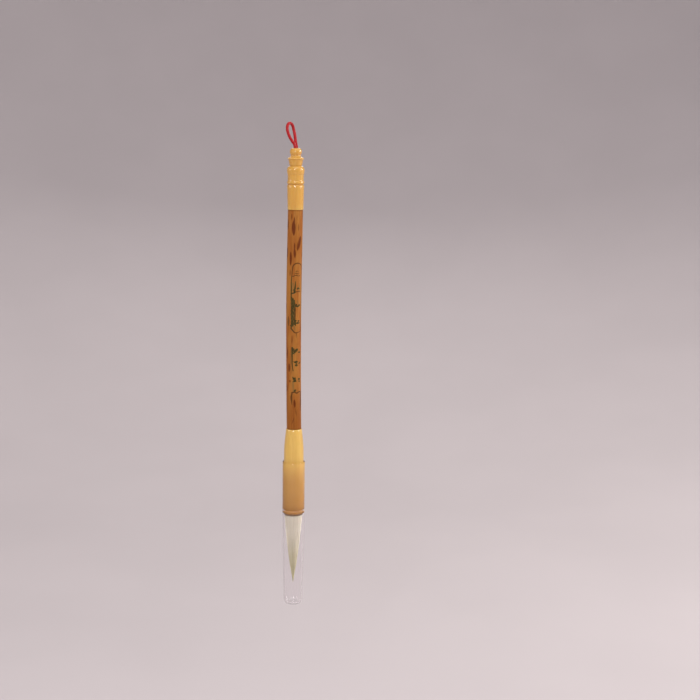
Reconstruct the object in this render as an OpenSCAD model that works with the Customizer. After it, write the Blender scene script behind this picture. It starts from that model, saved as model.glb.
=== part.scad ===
// Calligraphy brush with a turned finial, a bamboo handle and a clear cap.
// It hangs tip down along -Z. The origin is where the cord leaves the finial.
// "Depth" below is the distance down from that point, in millimetres.

/* [Cord] */
// Diameter of the hanging cord
cord_d = 1.7; // [1.2:0.1:1.7]
// Diameter of the cord hole through the finial
cord_hole_d = 3.6; // [3.55:0.05:3.8]
// Turn of the loop's plane about the handle
loop_turn = 65; // [0:5:175]

/* [Finial] */
// Diameter of the bead on top
bead_d = 6.8; // [6.2:0.1:7.4]
// Height of the bead
bead_h = 4.2; // [3.8:0.1:4.2]
// Diameter of the flange under the bead
flange_d = 9.3; // [8.8:0.1:10]
// Depth of the finial's foot
finial_h = 9.95; // [9.5:0.05:11]
// Diameter of the tenon that is glued into the upper ferrule
finial_tenon_d = 5.1; // [5:0.05:5.2]
// Length of that tenon
finial_tenon_h = 6; // [4:0.5:7]

/* [Upper ferrule] */
// Length of the upper ferrule
upper_h = 24.75; // [24:0.25:34]
// Diameter of the round bulb at its top
bulb_d = 10; // [9.6:0.1:11]
// Diameter of the plain waist under the bulb
waist_d = 9.24; // [9.1:0.02:9.4]
// Diameter of the raised ring
ring_d = 9.9; // [9.7:0.1:10.4]
// Diameter of the sleeve at the top of its taper
sleeve_d = 9.7; // [9.4:0.1:9.9]
// Diameter of the sleeve where it meets the handle
sleeve_foot_d = 9.1; // [8.9:0.05:9.3]

/* [Handle] */
// Visible length of the bamboo
handle_h = 127.6; // [90:0.1:220]
// Diameter of the bamboo at its upper end
handle_d = 8.7; // [8.3:0.05:8.8]
// Diameter of the bamboo at its lower end
handle_foot_d = 8.6; // [8.3:0.05:8.8]
// Diameter of the hollow in the bamboo
handle_bore_d = 3.6; // [2.4:0.1:4.4]
// Diameter of the turned-down ends
tenon_d = 6.4; // [6:0.1:6.6]
// Length of the upper turned-down end
upper_tenon_h = 11; // [8:0.5:11]
// Length of the lower turned-down end
lower_tenon_h = 14; // [10:0.5:16]
// Thickness of every glue line
glue_t = 0.1; // [0.05:0.01:0.15]

/* [Lower ferrule] */
// Length of the lower ferrule
lower_h = 51.5; // [48:0.5:60]
// Diameter of its straight body
lower_d = 11.6; // [11.4:0.05:12]
// Diameter at its top edge
lower_top_d = 9.2; // [8.9:0.1:9.6]
// Height of the swelling shoulder
shoulder_h = 15; // [10:0.5:20]
// Diameter of the cup that holds the tuft
cup_d = 10; // [9.8:0.05:10.2]
// Depth of that cup
cup_h = 15.3; // [14:0.1:17]

/* [Tuft] */
// Length of the hair below the mouth of the ferrule
tuft_h = 42.3; // [30:0.1:50]
// Diameter of the hair at the mouth
tuft_d = 10.3; // [10:0.05:10.35]
// Diameter of the stiff core hair
core_d = 3.8; // [3:0.1:5]
// Turns of binding thread round the root
thread_turns = 5; // [3:1:6]
// Diameter of the binding thread
thread_d = 0.4; // [0.3:0.02:0.4]

/* [Cap] */
// Length of the clear cap
cap_h = 86.4; // [78:0.1:95]
// Outer diameter of the cap at its mouth
cap_d = 13.1; // [12.5:0.05:13.5]
// Outer diameter of the cap at its closed end
cap_end_d = 10.9; // [10.4:0.05:11.4]
// Gap all round between the cap and the ferrule
cap_gap = 0.06; // [0.03:0.01:0.1]
// Thickness of the closed end
cap_end_t = 0.6; // [0.4:0.1:1]

/* [Hidden] */
$fn = 96;

// Height of the bend above the finial where the loop swings
bend_up = 1.2;
// Distance of each strand from the handle's axis
strand_off = 0.9;
// Depths of the joints between the pieces
upper_top = finial_h;
handle_top = upper_top + upper_h;
lower_top = handle_top + handle_h;
mouth = lower_top + lower_h;
tip = mouth + tuft_h;
// Depths inside the upper ferrule
finial_end = finial_h + finial_tenon_h;
upper_socket_top = handle_top - upper_tenon_h - 1.2;
// Radii of the sockets, each one glue line wider than its tenon
finial_socket_r = finial_tenon_d / 2 + glue_t;
tenon_socket_r = tenon_d / 2 + glue_t;
// Depths inside the lower ferrule
lower_socket_end = lower_top + lower_tenon_h + 1;
cup_top = mouth - cup_h;
glue_floor = 1.2;
resin_t = 1.3;
hair_top = cup_top + glue_floor + resin_t;
// Radius of the hair under the thread, and where it has swollen to fill the cup
root_r = 4.2;
waist_end = hair_top + 2.6;
swell_end = hair_top + 6.5;
// Depth of the cap's mouth and of its closed end
cap_end = mouth + tuft_h + 12.3;
cap_top = cap_end - cap_h;
cap_corner = 1.8;

// Half of the loop's route: [across its plane, lean sideways, height above the finial]
half_route = [
    [1.1, 0.5, 2.3], [2.0, 1.3, 3.8], [3.0, 2.0, 5.5], [3.6, 2.6, 7.2], [3.9, 3.1, 8.8],
    [3.9, 3.5, 10.3], [3.5, 3.7, 11.8], [2.6, 3.8, 13.0], [1.4, 3.9, 13.7],
];
loop_crown = [0, 3.9, 13.9];
other_half = [for (i = [len(half_route) - 1:-1:0]) [-half_route[i][0], half_route[i][1], half_route[i][2]]];
loop_route = concat(half_route, [loop_crown], other_half);

// Points on an ellipse round [radius, depth], from angle a to angle b, 90 being the top
function arc(centre, rx, ry, a, b, steps) =
    [for (i = [0:steps]) let (t = a + (b - a) * i / steps) centre + [rx * cos(t), -ry * sin(t)]];

// Unit vector along v
function unit(v) = v / norm(v);

// Direction of a route at its point i
function along(route, i) =
    unit(route[min(i + 1, len(route) - 1)] - route[max(i - 1, 0)]);

// One ring of a cord: corner points round point i of its route
function ring(route, i, r, sides) =
    let (t = along(route, i), side = unit(cross([0, 1, 0], t)), front = cross(t, side))
    [for (k = [0:sides - 1]) let (a = 360 * k / sides) route[i] + r * (cos(a) * side + sin(a) * front)];

// A solid turned on the lathe from an outline of [radius, depth]
module turned(outline) {
    rotate_extrude() polygon([for (p = outline) [p[0], -p[1]]]);
}

// A straight tube between two depths
module sleeve(r_in, r_out, top, end) {
    turned([[r_in, top], [r_out, top], [r_out, end], [r_in, end]]);
}

// A round cord swept along a route
module cord(route, r, sides) {
    last = len(route) - 1;
    points = [for (i = [0:last]) each ring(route, i, r, sides)];
    walls = [
        for (i = [0:last - 1], k = [0:sides - 1])
            let (a = i * sides + k, b = i * sides + (k + 1) % sides)
                each [[a, a + sides, b], [b, a + sides, b + sides]]
    ];
    start_cap = [for (k = [0:sides - 1]) k];
    end_cap = [for (k = [sides - 1:-1:0]) last * sides + k];
    polyhedron(points = points, faces = concat([start_cap], walls, [end_cap]), convexity = 4);
}

// The free loop of cord above the finial
module hanging_loop() {
    color("crimson") rotate([0, 0, loop_turn]) cord(loop_route, cord_d / 2, 8);
}

// The two strands of the cord in the finial's bore, with round ends at the bend
module cord_strands() {
    color("crimson") rotate([0, 0, loop_turn])
        for (side = [-1, 1]) translate([side * strand_off, 0, -finial_end - 0.1]) {
            cylinder(d = cord_d, h = finial_end + 0.1 + bend_up);
            translate([0, 0, finial_end + 0.1 + bend_up]) sphere(d = cord_d);
        }
}

// The knot under the finial, with its two cut tails
module cord_knot() {
    knot_r = 2.3;
    knot_h = 4.3;
    knot_top = finial_end + 0.1;
    tail_h = 1.8;
    color("firebrick") rotate([0, 0, loop_turn]) {
        turned(concat(
            [[0, knot_top]],
            arc([knot_r - 1.4, knot_top + 1.4], 1.4, 1.4, 90, 0, 6),
            arc([knot_r - 1.4, knot_top + knot_h - 1.4], 1.4, 1.4, 0, -90, 6),
            [[0, knot_top + knot_h]]
        ));
        for (side = [-1, 1])
            translate([side * strand_off, 0, -knot_top - knot_h - tail_h]) cylinder(d = cord_d, h = tail_h + 0.4);
    }
}

// The turned finial: bead, groove, flange and tapering neck, with a tenon below
module finial() {
    bore_r = cord_hole_d / 2;
    bead = [bead_d / 2 - 1.5, bead_h / 2];
    rim = [flange_d / 2 - 0.42, 6];
    tenon_r = finial_tenon_d / 2;
    color("goldenrod") turned(concat(
        [[bore_r, 0.2]],
        arc(bead, 1.5, bead_h / 2, 82, -37, 10),
        [[2.95, 3.7], [2.95, 4.2]],
        arc([4.1, 4.2], 1.15, 0.95, 180, 270, 4),
        [[4, 5.3]],
        arc(rim, 0.42, 0.5, 80, -80, 6),
        [[rim[0] - 0.05, 6.6], [3.5, finial_h], [tenon_r, finial_h], [tenon_r, finial_end - 0.2]],
        [[tenon_r - 0.2, finial_end], [bore_r, finial_end]]
    ));
}

// Glue round the finial's tenon
module finial_glue() {
    color("peru") sleeve(finial_tenon_d / 2, finial_socket_r, upper_top + 0.2, finial_end - 0.4);
}

// The turned upper ferrule: bulb, waist, ring, groove and tapering sleeve
module upper_ferrule() {
    bulb_at = upper_top + 2.45;
    ring_at = upper_top + 9.4;
    taper_top = upper_top + 11.2;
    foot_r = sleeve_foot_d / 2;
    waist_r = waist_d / 2;
    color("burlywood") turned(concat(
        [[finial_socket_r, upper_top]],
        arc([bulb_d / 2 - 2, bulb_at], 2, 2.45, 76, 0, 8),
        arc([bulb_d / 2 - 2, bulb_at], 2, 4.5, -7, -36, 4),
        [[waist_r, upper_top + 5.4], [waist_r - 0.06, upper_top + 7], [waist_r, upper_top + 8.5]],
        arc([ring_d / 2 - 0.35, ring_at], 0.35, 0.75, 80, -80, 6),
        [[waist_r, ring_at + 0.9], [waist_r, ring_at + 1.4], [sleeve_d / 2 - 0.1, ring_at + 1.6]],
        [[sleeve_d / 2, taper_top], [foot_r - 0.02, handle_top - 0.95], [foot_r - 0.1, handle_top - 0.85]],
        [[foot_r + 0.02, handle_top - 0.7], [foot_r + 0.02, handle_top - 0.2], [foot_r - 0.1, handle_top]],
        [[tenon_socket_r, handle_top], [tenon_socket_r, upper_socket_top], [finial_socket_r, upper_socket_top]]
    ));
}

// Glue round the handle's upper tenon
module handle_top_glue() {
    color("peru") sleeve(tenon_d / 2, tenon_socket_r, handle_top - upper_tenon_h + 0.3, handle_top - 0.2);
}

// The bamboo tube, turned down at both ends
module bamboo_handle() {
    bore_r = handle_bore_d / 2;
    tenon_r = tenon_d / 2;
    edge = 0.12;
    color("sienna") turned([
        [bore_r, handle_top - upper_tenon_h], [tenon_r - 0.2, handle_top - upper_tenon_h],
        [tenon_r, handle_top - upper_tenon_h + 0.2], [tenon_r, handle_top],
        [handle_d / 2 - edge, handle_top], [handle_d / 2, handle_top + edge],
        [handle_foot_d / 2, lower_top - edge], [handle_foot_d / 2 - edge, lower_top],
        [tenon_r, lower_top], [tenon_r, lower_top + lower_tenon_h - 0.2],
        [tenon_r - 0.2, lower_top + lower_tenon_h], [bore_r, lower_top + lower_tenon_h],
    ]);
}

// Glue round the handle's lower tenon
module handle_foot_glue() {
    color("peru") sleeve(tenon_d / 2, tenon_socket_r, lower_top + 0.2, lower_top + lower_tenon_h - 0.3);
}

// The turned lower ferrule: swelling shoulder, straight body, groove and round lip
module lower_ferrule() {
    body_r = lower_d / 2;
    top_r = lower_top_d / 2;
    steps = 8;
    groove_at = mouth - 2.9;
    color("tan") turned(concat(
        [[tenon_socket_r, lower_top], [top_r - 0.15, lower_top]],
        [for (i = [0:steps]) [top_r + (body_r - top_r) * sin(90 * i / steps), lower_top + 0.2 + shoulder_h * i / steps]],
        [[body_r, groove_at - 0.4], [body_r - 0.18, groove_at - 0.12], [body_r - 0.18, groove_at + 0.12]],
        [[body_r - 0.03, groove_at + 0.4]],
        arc([body_r - 0.53, mouth - 1.3], 0.5, 1.3, 0, -84, 6),
        [[cup_d / 2 + 0.2, mouth], [cup_d / 2, mouth - 4], [cup_d / 2, cup_top]],
        [[1.3, cup_top], [1.3, lower_socket_end], [tenon_socket_r, lower_socket_end]]
    ));
}

// The bed of glue that holds the tuft in its cup
module tuft_glue() {
    thread_out = root_r + 0.05 + thread_d;
    bed_r = cup_d / 2;
    color("peru") turned([
        [0, cup_top], [bed_r, cup_top], [bed_r, waist_end + 0.6],
        [thread_out, waist_end + 0.6], [thread_out, cup_top + glue_floor], [0, cup_top + glue_floor],
    ]);
}

// The resin that seals the cut ends of the hair
module root_resin() {
    color("saddlebrown") translate([0, 0, -hair_top]) cylinder(r = root_r, h = resin_t);
}

// The thread wound round the root of the hair
module binding_thread() {
    color("ivory") for (i = [0:thread_turns - 1])
        translate([0, 0, -hair_top - 0.4 - i * (thread_d + 0.02)])
            rotate_extrude() translate([root_r + 0.02 + thread_d / 2, 0]) circle(d = thread_d, $fn = 24);
}

// Radius of the core and of the whole tuft, at a share s of the way from mouth to tip
function core_r(s) = core_d / 2 * (1 - pow(s, 4));
function tuft_r(s) = tuft_d / 2 * (1 - pow(s, 1.45));

// Share of the visible length at which the outer hair ends
mantle_end = 0.8;
mantle_steps = 12;
core_steps = 16;

// The stiff core hair, which makes the point
module core_hair() {
    color("darkkhaki") turned(concat(
        [[0, hair_top]],
        [[core_d / 2, hair_top]],
        [for (i = [0:core_steps]) [core_r(i / core_steps), mouth + tuft_h * i / core_steps]]
    ));
}

// The soft outer hair, wrapped round the core
module mantle_hair() {
    gap = 0.02;
    outside = [for (i = [0:mantle_steps]) let (s = mantle_end * i / mantle_steps) [tuft_r(s), mouth + tuft_h * s]];
    inside = [for (i = [mantle_steps:-1:0]) let (s = mantle_end * i / mantle_steps) [core_r(s) + gap, mouth + tuft_h * s]];
    color("antiquewhite") turned(concat(
        [[core_d / 2 + gap, hair_top], [root_r, hair_top], [root_r, waist_end], [cup_d / 2 - 0.05, swell_end]],
        [[cup_d / 2 - 0.05, mouth - 4]],
        outside,
        inside
    ));
}

// The clear cap, a thin tapering tube with a closed end
module clear_cap() {
    grip_end = mouth + 0.7;
    bore_r = lower_d / 2 + cap_gap;
    out_r = cap_d / 2;
    end_r = cap_end_d / 2;
    wall = out_r - bore_r;
    in_corner = cap_corner - wall;
    color("lightcyan", 0.35) turned(concat(
        [[bore_r + 0.1, cap_top], [out_r - 0.1, cap_top], [out_r, cap_top + 0.15], [out_r - 0.02, grip_end]],
        arc([end_r - cap_corner, cap_end - cap_corner], cap_corner, cap_corner, 0, -90, 6),
        [[0, cap_end], [0, cap_end - cap_end_t]],
        arc([end_r - cap_corner, cap_end - cap_end_t - in_corner], in_corner, in_corner, -90, 0, 6),
        [[bore_r, grip_end], [bore_r, cap_top + 0.15]]
    ));
}

hanging_loop();
cord_strands();
cord_knot();
finial();
finial_glue();
upper_ferrule();
handle_top_glue();
bamboo_handle();
handle_foot_glue();
lower_ferrule();
tuft_glue();
root_resin();
binding_thread();
core_hair();
mantle_hair();
clear_cap();
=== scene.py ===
"""Calligraphy brush: turned ferrules, a mottled bamboo handle, a hair tuft, a cord loop and a clear cap.

Laid out as an add-on. Run as a script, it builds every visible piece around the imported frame.
"""

import math

import bmesh
import bpy
import numpy as np
from bpy.props import FloatProperty, FloatVectorProperty, IntProperty, PointerProperty
from mathutils import Matrix, Vector


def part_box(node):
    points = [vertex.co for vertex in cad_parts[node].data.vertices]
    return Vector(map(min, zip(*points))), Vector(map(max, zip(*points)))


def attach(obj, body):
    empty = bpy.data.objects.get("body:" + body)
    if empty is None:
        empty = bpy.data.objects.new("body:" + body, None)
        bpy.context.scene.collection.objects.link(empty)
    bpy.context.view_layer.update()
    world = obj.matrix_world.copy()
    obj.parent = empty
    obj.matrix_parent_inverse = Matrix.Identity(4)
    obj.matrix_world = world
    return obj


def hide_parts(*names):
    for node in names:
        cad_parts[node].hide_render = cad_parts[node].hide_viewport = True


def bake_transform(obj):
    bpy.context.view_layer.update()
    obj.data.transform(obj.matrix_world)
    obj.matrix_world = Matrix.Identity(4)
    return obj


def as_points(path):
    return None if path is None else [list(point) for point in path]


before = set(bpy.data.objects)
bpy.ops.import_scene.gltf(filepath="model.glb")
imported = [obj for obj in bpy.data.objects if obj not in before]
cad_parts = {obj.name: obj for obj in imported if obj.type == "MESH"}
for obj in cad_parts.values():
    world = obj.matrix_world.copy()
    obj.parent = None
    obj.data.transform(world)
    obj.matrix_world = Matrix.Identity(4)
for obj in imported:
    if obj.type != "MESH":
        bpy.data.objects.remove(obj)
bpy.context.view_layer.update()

bl_info = {
    "name": "Calligraphy Brush",
    "version": (1, 0, 0),
    "blender": (4, 5, 0),
    "location": "View3D > Sidebar > Brush",
    "description": "Builds a calligraphy brush piece by piece around its frame",
    "category": "Object",
}

MM = 0.001

# Levels along the handle, read from the frame: the origin is where the cord leaves the finial.
HANDLE_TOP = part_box("upper_ferrule")[0].z
HANDLE_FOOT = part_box("lower_ferrule")[1].z
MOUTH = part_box("lower_ferrule")[0].z
HAIR_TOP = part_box("mantle_hair")[1].z
MANTLE_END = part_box("mantle_hair")[0].z
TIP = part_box("core_hair")[0].z
KNOT_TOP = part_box("cord_knot")[1].z
CAP_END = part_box("clear_cap")[0].z
CAP_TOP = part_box("clear_cap")[1].z

# The loop's route, half of it, as in the part's source: across its plane, lean sideways, height.
HALF_ROUTE = [
    (0.0011, 0.0005, 0.0023),
    (0.0020, 0.0013, 0.0038),
    (0.0030, 0.0020, 0.0055),
    (0.0036, 0.0026, 0.0072),
    (0.0039, 0.0031, 0.0088),
    (0.0039, 0.0035, 0.0103),
    (0.0035, 0.0037, 0.0118),
    (0.0026, 0.0038, 0.0130),
    (0.0014, 0.0039, 0.0137),
]
LOOP_CROWN = (0.0, 0.0039, 0.0139)
LOOP_TURN = math.radians(65)
STRAND_OFF = 0.0009
BEND_UP = 0.0012
STRAND_LEVELS = (KNOT_TOP, -0.012, -0.008, -0.004, -0.0015, BEND_UP / 3)

# How finely turned pieces are drawn: points round them, and the length of a step along a curve
SEGMENTS = 128
TURNED_STEP = 0.12 * MM


# ---------------------------------------------------------------- settings


def length(name, words, default):
    """A size in metres that a user can change."""
    return FloatProperty(name=name, description=words, default=default, min=0.0, unit="LENGTH", precision=5)


def colour(name, words, default):
    """A colour that a user can change."""
    return FloatVectorProperty(
        name=name, description=words, default=default, min=0.0, max=1.0, size=3, subtype="COLOR"
    )


class BrushCordSettings(bpy.types.PropertyGroup):
    diameter: length("Diameter", "Diameter of the hanging cord", 1.7 * MM)
    relief: length("Braid relief", "How far the braid's strands stand proud", 0.03 * MM)
    stitch: length("Stitch", "Length of one strand's float in the braid", 1.1 * MM)
    carriers: IntProperty(
        name="Carriers", description="Strands of the braid in each direction", default=8, min=3
    )
    dye: colour("Dye", "Colour of the waxed cord", (0.43, 0.005, 0.009))


class BrushTurnedSettings(bpy.types.PropertyGroup):
    light_wood: colour("Light wood", "Pale bands of the turned wood's grain", (0.72, 0.465, 0.110))
    dark_wood: colour("Dark wood", "Darker bands of the turned wood's grain", (0.63, 0.375, 0.075))
    handled: colour("Handled wood", "Amber of the wood above the handle", (0.55, 0.225, 0.020))
    # Painted shade: the darker colour of the wood where the clear cap covers it, also used towards the mouth
    under_cap_shade: colour("Shade under the cap", "Wood under the cap, darkened as painted shade", (0.31, 0.110, 0.002))
    fillet: length("Fillet", "Radius that the turner leaves on sharp edges", 0.07 * MM)


class BrushBambooSettings(bpy.types.PropertyGroup):
    skin: colour("Skin", "Ground colour of the bamboo", (0.375, 0.150, 0.027))
    warm: colour("Warm skin", "Redder stretches of the bamboo", (0.295, 0.088, 0.011))
    fleck: colour("Fleck", "Colour of the natural dark flecks", (0.120, 0.022, 0.001))
    paint: colour("Paint", "Colour rubbed into the engraving", (0.036, 0.030, 0.005))
    worn_paint: colour("Worn paint", "Colour where the paint is thin", (0.082, 0.060, 0.010))
    wash: colour("Wash", "Thin grey-green brushed between the lines", (0.165, 0.110, 0.030))
    bare_cut: colour("Bare cut", "Colour of the lines left unpainted", (0.100, 0.034, 0.005))
    carving: length("Carving depth", "Depth of the engraved lines", 0.10 * MM)
    bow: length("Bow", "How far the bamboo bends sideways at its middle", 0.60 * MM)


class BrushTuftSettings(bpy.types.PropertyGroup):
    hair_width: length("Hair width", "Thickness of one drawn hair", 0.12 * MM)
    mantle_count: IntProperty(
        name="Outer hairs", description="Hairs in the outer layer", default=1900, min=50
    )
    core_count: IntProperty(name="Core hairs", description="Hairs in the core", default=900, min=50)
    white: colour("White hair", "Colour of the outer hair", (0.83, 0.745, 0.60))
    yellow: colour("Core hair", "Colour of the core hair", (0.58, 0.51, 0.23))


class BrushCapSettings(bpy.types.PropertyGroup):
    tint: colour("Tint", "What the plastic lets through", (0.97, 0.96, 0.965))


class BrushStageSettings(bpy.types.PropertyGroup):
    paper: colour("Paper", "Colour of the plain floor and wall", (0.59, 0.53, 0.535))
    drop: length("Drop", "Free height under the closed cap, for the cap to come off", 97 * MM)


# ---------------------------------------------------------------- mesh helpers


def make_piece(name, points, faces, material, sharp_angle=40):
    """A finished piece: its place is in its mesh, and its faces point outwards."""
    mesh = bpy.data.meshes.new(name)
    mesh.from_pydata([tuple(p) for p in points], [], [tuple(f) for f in faces])
    mesh.validate()
    if signed_volume(mesh) < 0:
        mesh.flip_normals()
    mesh.shade_smooth()
    mesh.set_sharp_from_angle(angle=math.radians(sharp_angle))
    mesh.materials.append(material)
    piece = bpy.data.objects.new(name, mesh)
    bpy.context.scene.collection.objects.link(piece)
    return piece


def signed_volume(mesh):
    """Volume inside a closed mesh, negative if its faces point inwards."""
    mesh.calc_loop_triangles()
    co = np.empty(len(mesh.vertices) * 3)
    mesh.vertices.foreach_get("co", co)
    co = co.reshape(-1, 3)
    tris = np.empty(len(mesh.loop_triangles) * 3, int)
    mesh.loop_triangles.foreach_get("vertices", tris)
    a, b, c = (co[tris.reshape(-1, 3)[:, k]] for k in range(3))
    return float(np.einsum("ij,ij->i", a, np.cross(b, c)).sum() / 6)


def store(mesh, name, values):
    """Keeps one number for each vertex of a mesh, for its material to read."""
    attribute = mesh.attributes.new(name, "FLOAT", "POINT")
    attribute.data.foreach_set("value", np.asarray(values, np.float32))


def section_of(node):
    """The outline [radius, height] of a turned CAD node, open where it meets the axis."""
    cut = bmesh.new()
    cut.from_mesh(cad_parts[node].data)
    bmesh.ops.remove_doubles(cut, verts=cut.verts, dist=1e-7)
    turn = math.radians(0.7)
    outward = Vector((math.cos(turn), math.sin(turn), 0))
    across = Vector((-math.sin(turn), math.cos(turn), 0))
    found = bmesh.ops.bisect_plane(
        cut, geom=cut.verts[:] + cut.edges[:] + cut.faces[:], dist=1e-9, plane_co=(0, 0, 0), plane_no=across
    )
    joined = {}
    for edge in (e for e in found["geom_cut"] if isinstance(e, bmesh.types.BMEdge)):
        a, b = (v.co for v in edge.verts)
        if (a + b).dot(outward) > 1e-7 and (a - b).length > 1e-9:
            ends = [(round(p.dot(outward), 8), round(p.z, 8)) for p in (a, b)]
            joined.setdefault(ends[0], set()).add(ends[1])
            joined.setdefault(ends[1], set()).add(ends[0])
    cut.free()
    loose = [p for p in joined if len(joined[p]) == 1]
    here = max(loose or joined, key=lambda p: p[1])
    outline, before = [here], None
    while True:
        onward = [p for p in joined[here] if p != before and p not in outline[1:]]
        if not onward or onward[0] == outline[0]:
            break
        before, here = here, onward[0]
        outline.append(here)
    return straightened(outline, closed=not loose)


def divided(outline, closed, step):
    """An outline with points added, so that no two neighbours are further apart than step."""
    made = []
    after = np.roll(outline, -1, axis=0) if closed else outline[1:]
    for p, q in zip(outline, after):
        count = max(1, math.ceil(np.linalg.norm(q - p) / step))
        made += [p + (q - p) * i / count for i in range(count)]
    return np.array(made if closed else made + [outline[-1]])


def outside_at(node, heights):
    """A node's outer radius at each of these heights."""
    outline, _ = section_of(node)
    widest = np.zeros(len(heights))
    for p, q in zip(outline, np.roll(outline, -1, axis=0)):
        span = q[1] - p[1]
        if abs(span) < 1e-9:
            continue
        t = (heights - p[1]) / span
        within = (t >= -1e-6) & (t <= 1 + 1e-6)
        widest = np.maximum(widest, np.where(within, p[0] + (q[0] - p[0]) * t, 0))
    return widest


def straightened(outline, closed):
    """Leaves out the points of an outline that lie on a straight line between their neighbours."""
    points, changed = list(outline), True
    while changed:
        changed = False
        for i in range(0 if closed else 1, len(points) - (0 if closed else 1)):
            a, p, b = (np.array(points[(i + k) % len(points)]) for k in (-1, 0, 1))
            along = b - a
            off = abs(along[0] * (p - a)[1] - along[1] * (p - a)[0]) / max(np.linalg.norm(along), 1e-12)
            if off < 0.002 * MM:
                del points[i]
                changed = True
                break
    return np.array(points), closed


def softened(outline, closed, fillet, step, longest=2.5 * MM, corner=34, flat_run=12):
    """The outline with sharp corners rounded to a fillet and its arcs drawn as smooth curves.

    A corner turns by more than that many degrees. A run of flat_run steps or more stays straight.
    """
    n = len(outline)
    rounded, bends = [], []
    for i, p in enumerate(outline):
        if not closed and i in (0, n - 1):
            rounded.append(p)
            bends.append(True)
            continue
        a, b = outline[i - 1], outline[(i + 1) % n]
        u, v = (p - a) / np.linalg.norm(p - a), (b - p) / np.linalg.norm(b - p)
        if math.degrees(math.acos(np.clip(u @ v, -1, 1))) < corner:
            rounded.append(p)
            bends.append(False)
            continue
        reach = min(fillet, 0.4 * np.linalg.norm(p - a), 0.4 * np.linalg.norm(b - p))
        start, end = p - u * reach, p + v * reach
        for t in (0, 0.3, 0.7, 1):
            rounded.append((1 - t) ** 2 * start + 2 * t * (1 - t) * p + t * t * end)
            bends.append(t in (0, 1))
    points, m = [], len(rounded)
    for i in range(m if closed else m - 1):
        j = (i + 1) % m
        p, q = rounded[i], rounded[j]
        chord = q - p
        size = np.linalg.norm(chord)
        straight = size >= flat_run * step
        lean_p = chord if bends[i] or straight else q - rounded[i - 1]
        lean_q = chord if bends[j] or straight else rounded[(j + 1) % m] - p
        lean_p, lean_q = (w / np.linalg.norm(w) * size for w in (lean_p, lean_q))
        curved = not (bends[i] and bends[j])
        parts = max(1, math.ceil(size / (step if curved and not straight else longest)))
        for k in range(parts):
            t = k / parts
            points.append(
                (2 * t**3 - 3 * t**2 + 1) * p
                + (t**3 - 2 * t**2 + t) * lean_p
                + (3 * t**2 - 2 * t**3) * q
                + (t**3 - t**2) * lean_q
            )
    if not closed:
        points.append(rounded[-1])
    points = np.array(points)
    points[:, 0] = np.maximum(points[:, 0], 0)
    return points


def spun(outline, closed, segments):
    """Points and faces of an outline [radius, height] turned about the Z axis, with poles closed."""
    turn = np.linspace(0, 2 * math.pi, segments, endpoint=False)
    points, rings = [], []
    for r, z in outline:
        if r < 1e-7:
            rings.append([len(points)])
            points.append((0.0, 0.0, z))
        else:
            rings.append(list(range(len(points), len(points) + segments)))
            points.extend(zip(r * np.cos(turn), r * np.sin(turn), np.full(segments, z)))
    faces = []
    for i in range(len(rings) if closed else len(rings) - 1):
        a, b = rings[i], rings[(i + 1) % len(rings)]
        for k in range(segments):
            m = (k + 1) % segments
            if len(a) == 1 and len(b) == 1:
                break
            if len(a) == 1:
                faces.append((a[0], b[m], b[k]))
            elif len(b) == 1:
                faces.append((a[k], a[m], b[0]))
            else:
                faces.append((a[k], a[m], b[m], b[k]))
    return points, faces


def run_along(line):
    """How far each point of a line is from its start, along it."""
    return np.concatenate([[0], np.cumsum(np.linalg.norm(np.diff(line, axis=0), axis=1))])


def smooth_line(points, step):
    """Evenly spaced points on the smooth curve that goes through the given ones."""
    p = [np.array(q, float) for q in points]
    p = [2 * p[0] - p[1], *p, 2 * p[-1] - p[-2]]
    dense = []
    for i in range(1, len(p) - 2):
        for t in np.linspace(0, 1, 40, endpoint=False):
            dense.append(
                0.5
                * (
                    2 * p[i]
                    + (p[i + 1] - p[i - 1]) * t
                    + (2 * p[i - 1] - 5 * p[i] + 4 * p[i + 1] - p[i + 2]) * t**2
                    + (3 * p[i] - p[i - 1] - 3 * p[i + 1] + p[i + 2]) * t**3
                )
            )
    dense = np.array([*dense, p[-2]])
    run = run_along(dense)
    even = np.linspace(0, run[-1], max(2, round(run[-1] / step)))
    return np.stack([np.interp(even, run, dense[:, k]) for k in range(3)], axis=1)


def tube(line, sides, radius_at, closed=False, up=(0, 1, 0)):
    """Points and faces of a tube along a line; radius_at(run, angle) gives its radius."""
    count = len(line)
    ahead = np.roll(line, -1, axis=0) - np.roll(line, 1, axis=0)
    if not closed:
        ahead[0], ahead[-1] = line[1] - line[0], line[-1] - line[-2]
    ahead /= np.linalg.norm(ahead, axis=1)[:, None]
    side = np.zeros_like(line)
    side[0] = np.cross(up, ahead[0])
    for i in range(count):
        kept = side[max(i - 1, 0)]
        kept = kept - (kept @ ahead[i]) * ahead[i]
        side[i] = kept / np.linalg.norm(kept)
    front = np.cross(ahead, side)
    angle = np.linspace(0, 2 * math.pi, sides, endpoint=False)
    radius = radius_at(run_along(line)[:, None], angle[None, :])[..., None]
    across, forward = np.cos(angle)[None, :, None], np.sin(angle)[None, :, None]
    circle = across * side[:, None, :] + forward * front[:, None, :]
    points = (line[:, None, :] + radius * circle).reshape(-1, 3)
    faces = []
    for i in range(count if closed else count - 1):
        j = (i + 1) % count
        for k in range(sides):
            m = (k + 1) % sides
            faces.append((i * sides + k, i * sides + m, j * sides + m, j * sides + k))
    if not closed:
        faces.append(tuple(range(sides))[::-1])
        faces.append(tuple((count - 1) * sides + k for k in range(sides)))
    return points, faces


# ---------------------------------------------------------------- node trees


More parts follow.
